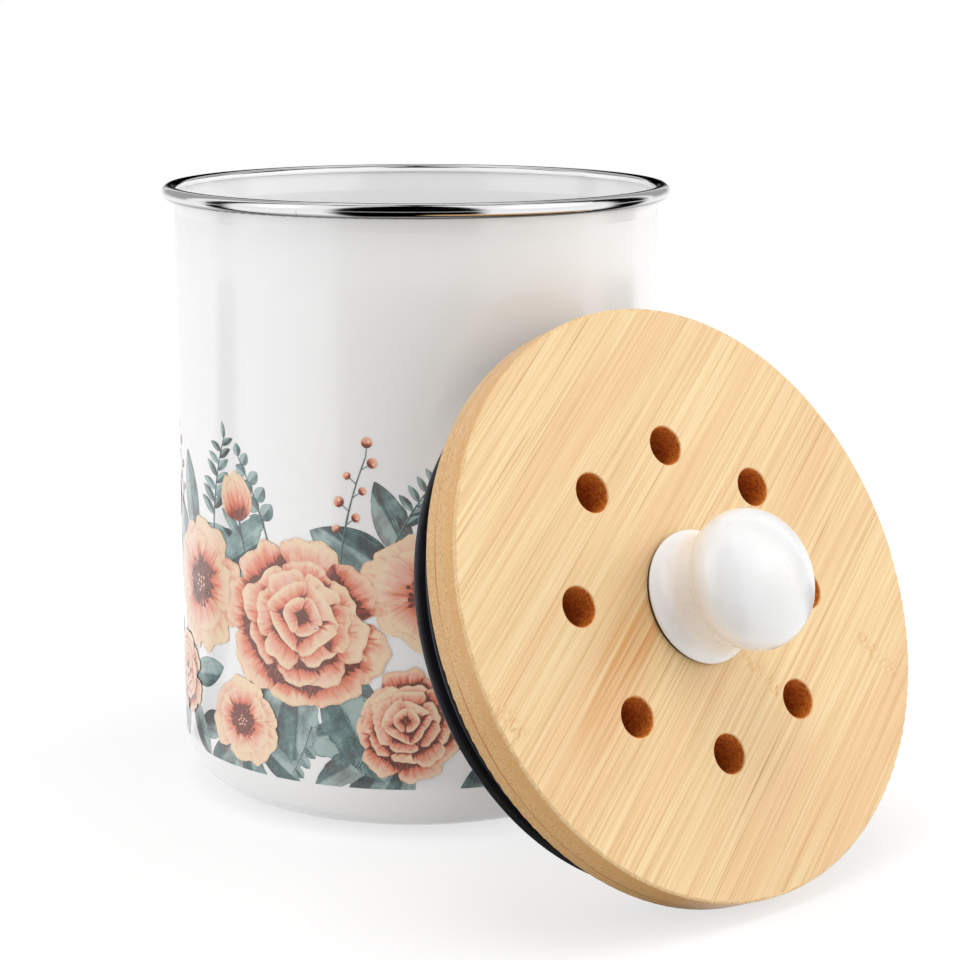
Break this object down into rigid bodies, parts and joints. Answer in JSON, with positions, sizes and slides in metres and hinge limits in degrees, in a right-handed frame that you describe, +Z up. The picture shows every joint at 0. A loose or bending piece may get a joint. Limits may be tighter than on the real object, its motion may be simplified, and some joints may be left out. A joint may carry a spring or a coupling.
{
  "type": "compost canister with lift-off lid",
  "caption": "Round enamelled steel compost canister with a steel rim and a vented bamboo lid with a knob, seal and charcoal filter, shown lid off and leaning.",
  "frame": {"origin": "centre of the canister's flat base, on the table", "axes": "+Z up along the canister's axis; the taken-off lid leans against the canister's +X side"},
  "size_m": [0.2605, 0.1848, 0.201],
  "materials": {
    "enamel": "glossy white vitreous enamel on steel",
    "rim_steel": "polished stainless",
    "bamboo": "sanded and lacquered bamboo",
    "bamboo_plug": "sanded bamboo",
    "silicone": "black silicone, satin",
    "porcelain": "glossy white glaze",
    "brass": "machined",
    "fixing_steel": "zinc-bright",
    "charcoal": "carbon-loaded non-woven felt",
    "cover_plastic": "fine-textured moulding",
    "nut_plastic": "moulded round a threaded insert"
  },
  "bodies": {
    "canister": {"canister_shell": "enamel", "rim_band": "rim_steel"},
    "lid": {"lid_disc": "bamboo", "lid_plug_ring": "bamboo_plug", "seal_ring": "silicone", "knob": "porcelain", "knob_insert": "brass", "knob_washer": "silicone", "lid_stud": "fixing_steel", "stud_washer": "fixing_steel", "stud_nut": "fixing_steel", "charcoal_filter": "charcoal", "filter_cover": "cover_plastic"},
    "filter_nut": {"thumb_nut": "nut_plastic"}
  },
  "joints": [
    {"name": "lid_lift", "type": "slide", "parent": "canister", "child": "lid", "axis": [0.5, 0, 0.866], "range_m": [0, 0.25]},
    {"name": "thumb_nut_turn", "type": "hinge", "parent": "lid", "child": "filter_nut", "pos_m": [0.10894, -0.0113, 0.07352], "axis": [0.9143, 0, 0.4051], "continuous": true}
  ]
}
